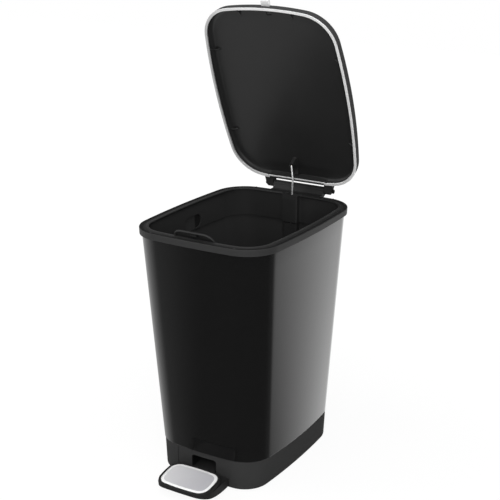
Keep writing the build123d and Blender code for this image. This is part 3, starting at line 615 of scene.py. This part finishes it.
def lid_lining():
    """The lid's inside: its outline carried up behind the trim, round a cove and over the crown.

    The crown is part of a large sphere. The cove is a quarter of an ellipse between wall and crown, and
    swells round the lock's arm: there the front moves in by a boss, with a slope at either end of it.
    """
    step, step_growth = 3.2, 0.2
    boss_half, boss_slope = LOCK_HALF + 6, 3

    def at(amount, z, boss=0.0):
        row = lid_loop(amount, z, step + step_growth * (amount - 4))
        side = np.clip((boss_half - np.abs(row[:, 0] - LOCK_X)) / boss_slope, 0, 1)
        row[:, 1] += boss * np.where(row[:, 1] < LID_MIDDLE, side, 0)
        return row

    edge = ((4.6, -6.2), (5.2, -6.2), (5.7, -6.0), (5.8, -5.0), (5.6, -4.2), (5.0, -4.0))
    lip = [at(amount, z) for amount, z in edge]
    wall = [at(3.6, -4.0), at(3.7, -3.0)]
    cove = []
    for t in np.linspace(0, np.pi / 2, 16):
        swell = COVE_SWELL * np.sin(min(3 * t, np.pi / 2 + t / 2))
        row = at(COVE_IN + COVE_REACH * (1 - np.cos(t)), 0.0, swell)
        row[:, 2] = COVE_LOW + (crown(row) - COVE_LOW) * np.sin(t)
        cove.append(row)
    middle = np.array([0, LID_MIDDLE])
    inner = []
    for share in np.linspace(1, 0.01, 24)[1:]:
        row = level(middle + (cove[-1][:, :2] - middle) * share, 0.0)
        row[:, 2] = crown(row)
        inner.append(row)
    skin = np.array(lip + wall + cove + inner)
    back = skin[len(lip):] + [0, 0, LINING_THICK]
    return on_plane(np.concatenate([skin[::-1], back]), -LID_OPEN, HINGE_Y, HINGE_Z)


def lock_seam():
    """The low bead behind the lock: a flat oval carried along a straight, an arc and a second straight."""
    turn = np.linspace(np.pi, np.pi / 2, 9)
    out = np.stack([np.cos(turn), np.sin(turn)], -1)
    arc = SEAM_CORNER + SEAM_BEND * out
    path = np.concatenate([[(arc[0, 0], SEAM_START)], arc, [SEAM_END]])
    out = np.concatenate([out[:1], out, out[-1:]])
    rows = bead(path, out, SEAM_HALF, SEAM_RISE, crown(path))
    return on_plane(rows, -LID_OPEN, HINGE_Y, HINGE_Z)


def lid_fins():
    """Small fins in the lid's inner corner: a squarish loop that grows longer toward the crown."""
    turn = np.linspace(0, 2 * np.pi, 24, endpoint=False)
    loop = np.stack([np.cos(turn), np.sin(turn)], -1)
    loop = np.sign(loop) * np.sqrt(np.abs(loop))
    grids = []
    for way, top, points in FINS:
        turned = np.array([way, (-way[1], way[0])])
        sizes = ((9, 0.3, 2.6), (10, 1.3, 3), (13, 1.9, 4.5), (18, 2.0, 8), (24, 2.1, top))
        fin = [level(((loop + [1, 0]) * [length / 2, width]) @ turned, z) for length, width, z in sizes]
        for point in points:
            grids.append(on_plane(np.array(fin) + [*point, 0], -LID_OPEN, HINGE_Y, HINGE_Z))
    return grids


def round_rim(profile):
    """A profile of amounts inward and heights above the rim, carried round the rim's outline."""
    return np.array([level(outline(inset(RIM, amount)), RIM_TOP + z) for amount, z in profile])


def rim_bead():
    """The soft crest of the rim: a low rounded profile carried round the outline."""
    return round_rim([
        (0.9, -0.8), (0.7, 0), (1.3, 0.45), (2.6, 0.7), (4.4, 0.75),
        (6.0, 0.6), (7.2, 0.2), (7.6, -0.4), (7.6, -0.8),
    ])


def ring_bead():
    """The rounded edge of the bag ring: a profile carried round the outline, open where the rod is."""
    rows = round_rim([
        (13.0, -0.8), (13.0, 0), (13.6, 0.5), (15, 0.75),
        (17, 0.75), (18.6, 0.4), (19.25, -0.2), (19.25, -2.6),
    ])
    gap_half = 21
    start = rows.shape[1] // 4
    rows = np.roll(rows, -start, 1)
    clear = (np.abs(rows[0, :, 0]) > gap_half) | (rows[0, :, 1] < 0)
    return rows[:, clear].swapaxes(0, 1)[:, ::-1]


def screws():
    """Four screws: a domed head sunk with a cross, and a shank whose radius follows a helical thread.

    The head's depth is a function of radius and angle; the thread is a triangle wave of height less turn.
    """
    turn = np.linspace(0, 2 * np.pi, 64, endpoint=False)
    circle = np.stack([np.cos(turn), np.sin(turn)], -1)
    radius = np.concatenate([np.linspace(0.05, 3.0, 24), [3.4, 3.7, 3.9, SCREW_HEAD]])[:, None]
    x, y = np.abs(radius * circle[:, 0]), np.abs(radius * circle[:, 1])
    narrow, long = np.minimum(x, y), np.maximum(x, y)
    cross = np.clip((0.75 - narrow) / 0.25, 0, 1) * np.clip((2.3 - long) / 0.5, 0, 1)
    head_z = 2.9 + 1.2 * (radius / SCREW_HEAD) ** 4 + 1.6 * cross
    head = np.concatenate([radius[..., None] * circle, head_z[..., None]], -1)
    collar = level(SCREW_HEAD * circle, SCREW_COLLAR)[None]
    z = np.linspace(SCREW_COLLAR, SCREW_TIP, 181)[:, None]
    wave = np.abs((z / THREAD_PITCH - turn / (2 * np.pi)) % 1.0 * 2 - 1)
    point = np.clip((SCREW_TIP + 0.3 - z) / 4, 0.1, 1)
    thick = (THREAD_CORE + THREAD_DEPTH * wave) * point
    shank = np.concatenate([thick[..., None] * circle, np.broadcast_to(z, thick.shape)[..., None]], -1)
    rows = np.concatenate([head, collar, shank])
    return [rows + [*place, 0] for place in BOSSES]


def foot_pads():
    """Four round pads: a profile with three low ribs underneath, turned about each pad's middle."""
    radius = np.concatenate([np.linspace(0.1, FOOT_RIBS_END, 48), [9.7, 9.9, 10.0, 10.0, 9.8, 0.1]])
    height = 0.25 - 0.25 * np.cos(radius / FOOT_RIBS_END * 6 * np.pi)
    height[-6:] = (0.05, 0.2, 0.5, 1.2, 1.4, 1.4)
    rows = np.array([ring(FEET, r, z) for r, z in zip(radius, height)])
    return list(rows.swapaxes(0, 1))


tub_rows, tub_inside = tub()
add_piece("tub", [tub_rows], "bin", "body_black", "body_tub", True, {"inside": tub_inside})
add_piece("tub_bosses", tub_bosses(), "bin", "body_black", None, True)
tread_rows, tread_bevel = tread()
add_piece("tread", [tread_rows], "pedal", "tread", "pedal_plate", False, {"bevel": tread_bevel})
add_piece("tab_bead", [tab_bead()], "bin", "frame_black")
add_piece("rim_bead", [rim_bead()], "bin", "guide_black", None, True)
add_piece("trim", [trim()], "lid", "trim_silver", "lid_trim", True)
add_piece("ring_bead", [ring_bead()], "bin", "frame_black")
add_piece("lid_lining", [lid_lining()], "lid", "lid_black")
add_piece("lid_fins", lid_fins(), "lid", "lid_black")
add_piece("lock_seam", [lock_seam()], "lid", "guide_black")
add_piece("screws", screws(), "bin", "steel", "base_screws")
add_piece("foot_pads", foot_pads(), "bin", "rubber", "base_feet")


def studio():
    """White sweep behind and below, dim room in front; a white ground for the camera."""
    world = bpy.data.worlds.new("studio")
    world.use_nodes = True
    bpy.context.scene.world = world
    f = Finish(world.node_tree)
    where = f.place("Generated")
    x, y, z = (f.axis(name, where) for name in "XYZ")
    sweep = y.between(0.53, 1.06) * (1.04 - z * 2.6) + y.between(0.2, 0.6) * 0.09
    low = 0.1 + sweep + (0 - x).between(0.48, 1.05) * 1.1 + (0 - z).between(0.6, 0.85) * 0.8
    high = 0.16 + z.between(0.35, 0.7) * 0.3
    up = z.between(-0.12, 0.2)
    glow = low * (1 - up) + high * up
    room = f.node("ShaderNodeBackground", None, {"Color": (1, 1, 1, 1), "Strength": glow})
    ground = f.node("ShaderNodeBackground", None, {"Color": (1, 1, 1, 1), "Strength": 1.0})
    seen = f.node("ShaderNodeLightPath", out="Is Camera Ray")
    both = f.node("ShaderNodeMixShader", None, {0: seen, 1: room, 2: ground})
    f.node("ShaderNodeOutputWorld", None, {"Surface": both})


def floor():
    """Pale floor, white to the camera but for a faint shadow under the can."""
    size = 6.0
    mesh = bpy.data.meshes.new("floor")
    corners = [(x * size, y * size, -0.0005) for x, y in ((-1, -1), (1, -1), (1, 1), (-1, 1))]
    mesh.from_pydata(corners, [], [(0, 1, 2, 3)])
    plane = bpy.data.objects.new("floor", mesh)
    bpy.context.scene.collection.objects.link(plane)
    material, f = new_finish("pale_floor")
    seen = f.node("ShaderNodeLightPath", out="Is Camera Ray")
    length = f.node("ShaderNodeVectorMath", {"operation": "LENGTH"}, {0: f.place()}, out="Value")
    far = length.between(0.35, 1.1)
    matt = f.node("ShaderNodeBsdfDiffuse", None, {"Color": (0.85, 0.85, 0.85, 1)})
    white = f.node("ShaderNodeEmission", None, {"Color": (1, 1, 1, 1), "Strength": 1.03})
    mixed = f.node("ShaderNodeMixShader", None, {0: seen * (0.9 + far * 0.1), 1: matt, 2: white})
    f.node("ShaderNodeOutputMaterial", None, {"Surface": mixed})
    mesh.materials.append(material)
    plane.visible_glossy = False


def lamp(name, place, aim, size, power):
    """A square soft lamp at a place, turned to an aim."""
    light = bpy.data.lights.new(name, "AREA")
    light.size = size
    light.energy = power
    holder = bpy.data.objects.new(name, light)
    holder.location = place
    holder.rotation_euler = (Vector(aim) - Vector(place)).to_track_quat("-Z", "Y").to_euler()
    holder.visible_camera = False
    bpy.context.scene.collection.objects.link(holder)


def camera():
    """The photo's view: 31 degrees round to the right, 18 degrees up, 2.4 metres off."""
    azimuth, elevation, distance = radians(31.37), radians(18.32), 2.4093
    right = Vector((cos(azimuth), sin(azimuth), 0))
    aim = Vector((0, 0, 0.47408)) + 0.00804 * right
    away = Vector((sin(azimuth) * cos(elevation), -cos(azimuth) * cos(elevation), sin(elevation)))
    eye = bpy.data.objects.new("camera", bpy.data.cameras.new("camera"))
    eye.data.sensor_width = 36.0
    eye.data.lens = 80.81
    eye.location = aim + distance * away
    eye.rotation_euler = (-away).to_track_quat("-Z", "Y").to_euler()
    bpy.context.scene.collection.objects.link(eye)
    bpy.context.scene.camera = eye


studio()
floor()
lamp("key", (1.4, -2.2, 1.5), (0, 0, 0.4), 1.4, 42)
lamp("fill", (-2.2, -1.4, 1.6), (0, 0, 0.5), 1.6, 20)
lamp("top", (0.2, -0.5, 2.8), (0, -0.1, 0.4), 1.6, 24)
camera()
bpy.context.scene.view_settings.view_transform = "Standard"
